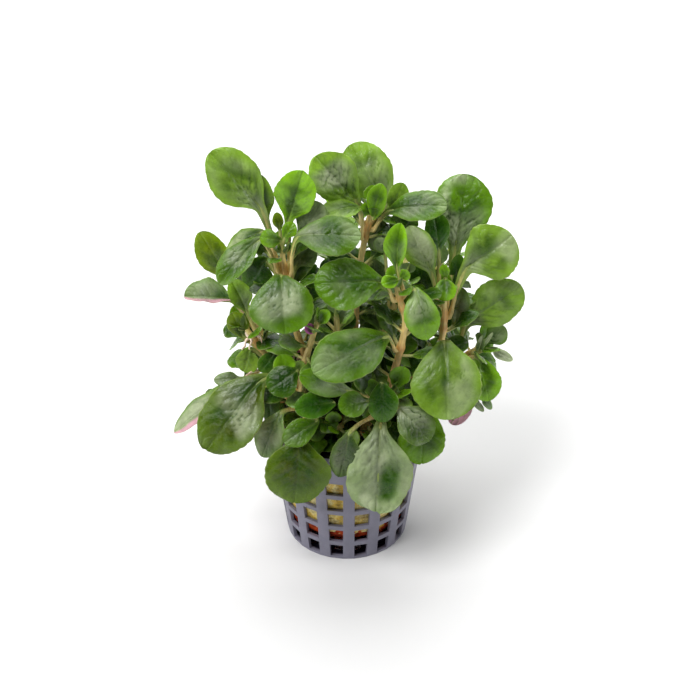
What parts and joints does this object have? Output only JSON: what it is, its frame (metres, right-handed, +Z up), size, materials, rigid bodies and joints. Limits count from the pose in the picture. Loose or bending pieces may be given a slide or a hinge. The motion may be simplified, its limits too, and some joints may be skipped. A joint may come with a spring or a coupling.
{
  "type": "potted aquarium plant",
  "caption": "Bushy young aquatic plant with spoon-shaped green leaves on upright tan stems, rooted in yellow rock wool in a tapered plastic net pot.",
  "frame": {"origin": "on the pot's axis, on the surface that the pot's foot stands on", "axes": "+Z up along the pot's axis, -Y towards the side with the large front leaves, +X to its right"},
  "size_m": [0.1175, 0.0971, 0.1491],
  "materials": {
    "pot": "satin",
    "wool": "matte",
    "stem": "satin",
    "leaf": "satin"
  },
  "bodies": {
    "root": {"net_pot": "pot", "rock_wool_plug": "wool", "stem_left": "stem", "leaf_left_1": "leaf", "leaf_left_2": "leaf", "leaf_left_3": "leaf", "leaf_left_4": "leaf", "leaf_left_5": "leaf", "leaf_left_6": "leaf", "stem_back": "stem", "leaf_back_1": "leaf", "leaf_back_2": "leaf", "leaf_back_3": "leaf", "leaf_back_4": "leaf", "stem_middle": "stem", "leaf_middle_1": "leaf", "leaf_middle_2": "leaf", "leaf_middle_3": "leaf", "leaf_middle_4": "leaf", "stem_right": "stem", "leaf_right_1": "leaf", "leaf_right_2": "leaf", "leaf_right_3": "leaf", "leaf_right_4": "leaf", "leaf_right_5": "leaf", "stem_low_right": "stem", "leaf_low_right_1": "leaf", "leaf_low_right_2": "leaf", "leaf_low_right_3": "leaf", "stem_low_left": "stem", "leaf_low_left_1": "leaf", "leaf_low_left_2": "leaf", "leaf_low_left_3": "leaf", "stem_front_left": "stem", "leaf_front_left_1": "leaf", "leaf_front_left_2": "leaf", "leaf_front_left_3": "leaf", "leaf_front_left_4": "leaf", "leaf_front_left_5": "leaf", "leaf_front_left_6": "leaf", "leaf_front_left_7": "leaf", "stem_front_right": "stem", "leaf_front_right_1": "leaf", "leaf_front_right_2": "leaf", "leaf_front_right_3": "leaf", "leaf_front_right_4": "leaf", "leaf_front_right_5": "leaf", "leaf_front_right_6": "leaf", "leaf_front_right_7": "leaf", "stem_inner_back": "stem", "stem_inner_top": "stem", "stem_inner_left": "stem", "stem_inner_right": "stem", "stem_inner_low": "stem", "stem_side_left": "stem", "stem_side_right": "stem", "stem_rear_left": "stem", "stem_rear_right": "stem", "stem_rear_middle": "stem", "stem_rear_low": "stem"}
  },
  "joints": []
}
